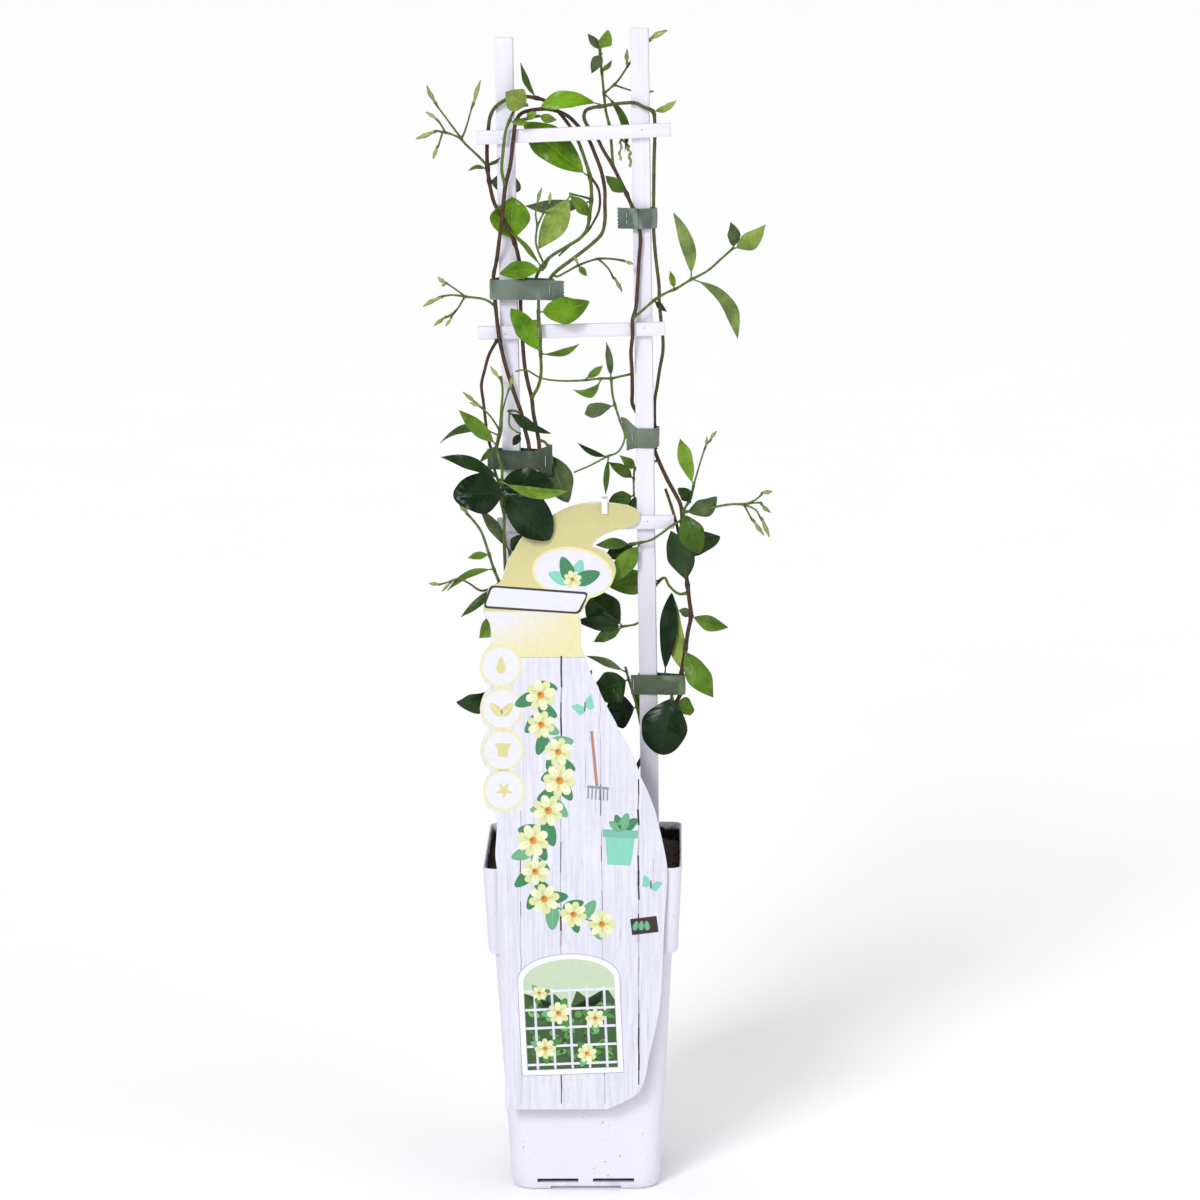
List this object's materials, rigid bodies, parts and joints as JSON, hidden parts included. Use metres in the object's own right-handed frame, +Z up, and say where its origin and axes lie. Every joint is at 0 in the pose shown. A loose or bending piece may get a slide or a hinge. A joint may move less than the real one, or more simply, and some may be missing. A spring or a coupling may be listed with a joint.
{
  "type": "star jasmine on a ladder in a pot",
  "caption": "Climbing plant trained up a small wooden ladder in a deep square pot, with tape ties and a hanging label card.",
  "frame": {"origin": "middle of the pot's underside, on the surface it stands on", "axes": "+Z up the plant, -Y to the front where the label card hangs, +X to the right seen from the front"},
  "size_m": [0.2111, 0.1224, 0.7028],
  "materials": {
    "pot": "satin white moulding",
    "soil": "damp peat compost",
    "ladder": "white paint over fine grain",
    "card": "printed, semi-gloss",
    "peg": "white plastic",
    "tape": "grey-green tying tape",
    "staple": "bright wire",
    "bark": "young brown bark",
    "leaf": "leathery evergreen leaf",
    "bud": "pale flower buds"
  },
  "bodies": {
    "root": {"pot": "pot", "soil": "soil", "left_post": "ladder", "right_post": "ladder", "top_rung": "ladder", "middle_rung": "ladder", "bottom_rung": "ladder", "label_card": "card", "label_peg": "peg", "tie_1": "tape", "staple_1": "staple", "tie_2": "tape", "staple_2": "staple", "tie_3": "tape", "staple_3": "staple", "tie_4": "tape", "staple_4": "staple", "tie_5": "tape", "staple_5": "staple", "left_stem": "bark", "left_tip_shoot": "leaf", "inner_stem": "bark", "fork_shoot": "leaf", "tied_leaf_shoot": "leaf", "crown_leaf_shoot": "leaf", "tie_spray": "bud", "upper_left_spray": "bud", "middle_left_spray": "bud", "right_stem": "bark", "top_shoot": "leaf", "top_twig": "leaf", "upper_right_shoot": "leaf", "wavy_shoot": "leaf", "post_side_shoot": "leaf", "right_spray": "bud", "crossing_shoot": "leaf", "low_middle_shoot": "leaf", "low_left_shoot": "leaf", "low_right_leaf": "leaf", "front_shoot": "leaf", "front_leaf_shoot": "leaf", "tie_leaf_shoot": "leaf", "side_leaf_shoot": "leaf", "lower_left_shoot": "leaf", "collar_leaf_shoot": "leaf"}
  },
  "joints": []
}
